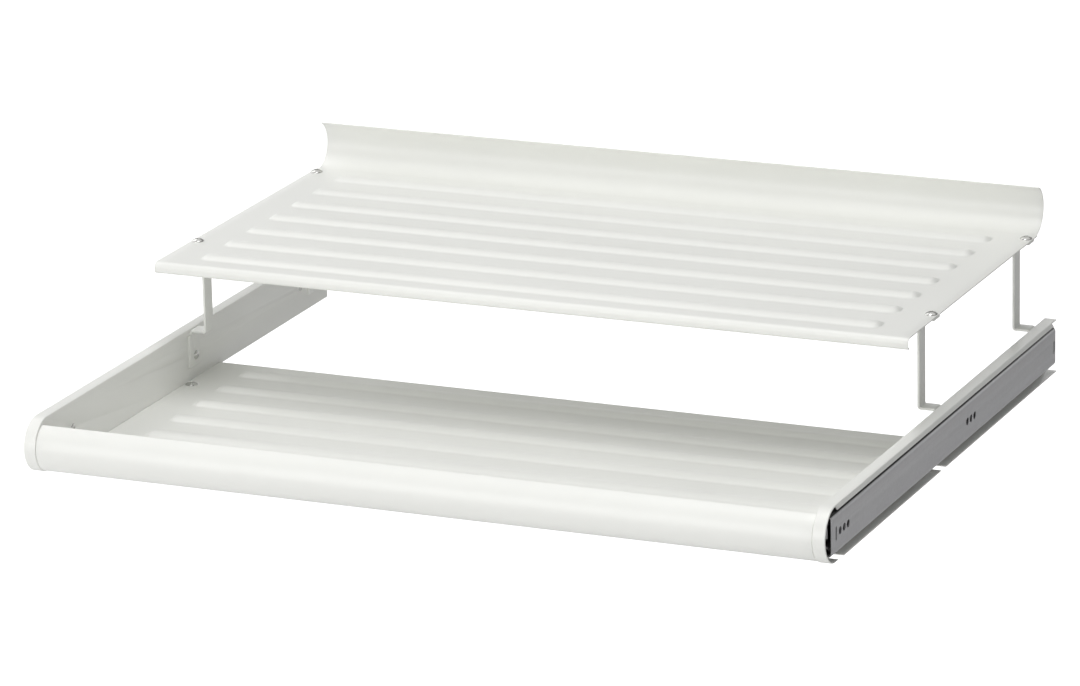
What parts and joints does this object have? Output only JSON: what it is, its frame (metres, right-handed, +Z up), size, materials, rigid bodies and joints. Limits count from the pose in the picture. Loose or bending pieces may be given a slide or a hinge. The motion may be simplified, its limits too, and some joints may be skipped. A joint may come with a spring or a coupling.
{
  "type": "pull out shoe rack",
  "caption": "Pull-out wardrobe shoe rack: ribbed sheet-steel shelves on two levels between side panels that run on ball-bearing slides.",
  "frame": {"origin": "half way between the two walls, at the front ends of the wall rails and level with the underside of the side panels", "axes": "+X across the wardrobe to the right seen from its front, +Y into the wardrobe, +Z up; the tray pulls out along -Y"},
  "size_m": [0.712, 0.5732, 0.1746],
  "materials": {
    "white_powder_coat": "satin white powder coat on sheet steel",
    "zinc_plated_steel": "cold-rolled, bright zinc plated",
    "screw_steel": "nickel plated",
    "cage_steel": "thin pressed strip",
    "ball_steel": "polished bearing steel",
    "black_plastic": "moulded, fine grain"
  },
  "bodies": {
    "wall_rails": {"wall_rail_left": "zinc_plated_steel", "wall_rail_right": "zinc_plated_steel", "rear_stop_left": "black_plastic", "rear_stop_right": "black_plastic"},
    "tray": {"upper_shelf": "white_powder_coat", "lower_shelf": "white_powder_coat", "side_panel_left": "white_powder_coat", "side_panel_right": "white_powder_coat", "front_leg_left": "white_powder_coat", "front_leg_right": "white_powder_coat", "rear_leg_left": "white_powder_coat", "rear_leg_right": "white_powder_coat", "drawer_rail_left": "zinc_plated_steel", "drawer_rail_right": "zinc_plated_steel", "upper_shelf_screws": "screw_steel", "lower_shelf_screws": "screw_steel", "leg_foot_screws": "screw_steel", "slide_screws": "screw_steel", "lever_pin_left": "screw_steel", "lever_pin_right": "screw_steel"},
    "middle_slide_left": {"middle_rail_left": "zinc_plated_steel"},
    "outer_bearing_left": {"outer_cage_left": "cage_steel", "outer_balls_left": "ball_steel"},
    "inner_bearing_left": {"inner_cage_left": "cage_steel", "inner_balls_left": "ball_steel"},
    "lever_left": {"release_lever_left": "black_plastic"},
    "middle_slide_right": {"middle_rail_right": "zinc_plated_steel"},
    "outer_bearing_right": {"outer_cage_right": "cage_steel", "outer_balls_right": "ball_steel"},
    "inner_bearing_right": {"inner_cage_right": "cage_steel", "inner_balls_right": "ball_steel"},
    "lever_right": {"release_lever_right": "black_plastic"}
  },
  "joints": [
    {"name": "tray_slide", "type": "slide", "parent": "wall_rails", "child": "tray", "axis": [0, -1, 0], "range_m": [0, 0.5]},
    {"name": "middle_slide_left_travel", "type": "slide", "parent": "wall_rails", "child": "middle_slide_left", "axis": [0, -1, 0], "range_m": [0, 0.25]},
    {"name": "outer_bearing_left_travel", "type": "slide", "parent": "wall_rails", "child": "outer_bearing_left", "axis": [0, -1, 0], "range_m": [0, 0.125]},
    {"name": "inner_bearing_left_travel", "type": "slide", "parent": "wall_rails", "child": "inner_bearing_left", "axis": [0, -1, 0], "range_m": [0, 0.375]},
    {"name": "lever_left_flip", "type": "hinge", "parent": "tray", "child": "lever_left", "pos_m": [-0.35, 0.262, 0.0241], "axis": [1, 0, 0], "range_deg": [-6, 6]},
    {"name": "middle_slide_right_travel", "type": "slide", "parent": "wall_rails", "child": "middle_slide_right", "axis": [0, -1, 0], "range_m": [0, 0.25]},
    {"name": "outer_bearing_right_travel", "type": "slide", "parent": "wall_rails", "child": "outer_bearing_right", "axis": [0, -1, 0], "range_m": [0, 0.125]},
    {"name": "inner_bearing_right_travel", "type": "slide", "parent": "wall_rails", "child": "inner_bearing_right", "axis": [0, -1, 0], "range_m": [0, 0.375]},
    {"name": "lever_right_flip", "type": "hinge", "parent": "tray", "child": "lever_right", "pos_m": [0.35, 0.262, 0.0241], "axis": [1, 0, 0], "range_deg": [-6, 6]}
  ],
  "couplings": [
    {"joint": "middle_slide_left_travel", "follows": "tray_slide", "ratio": 0.5},
    {"joint": "outer_bearing_left_travel", "follows": "tray_slide", "ratio": 0.25},
    {"joint": "inner_bearing_left_travel", "follows": "tray_slide", "ratio": 0.75},
    {"joint": "middle_slide_right_travel", "follows": "tray_slide", "ratio": 0.5},
    {"joint": "outer_bearing_right_travel", "follows": "tray_slide", "ratio": 0.25},
    {"joint": "inner_bearing_right_travel", "follows": "tray_slide", "ratio": 0.75}
  ]
}
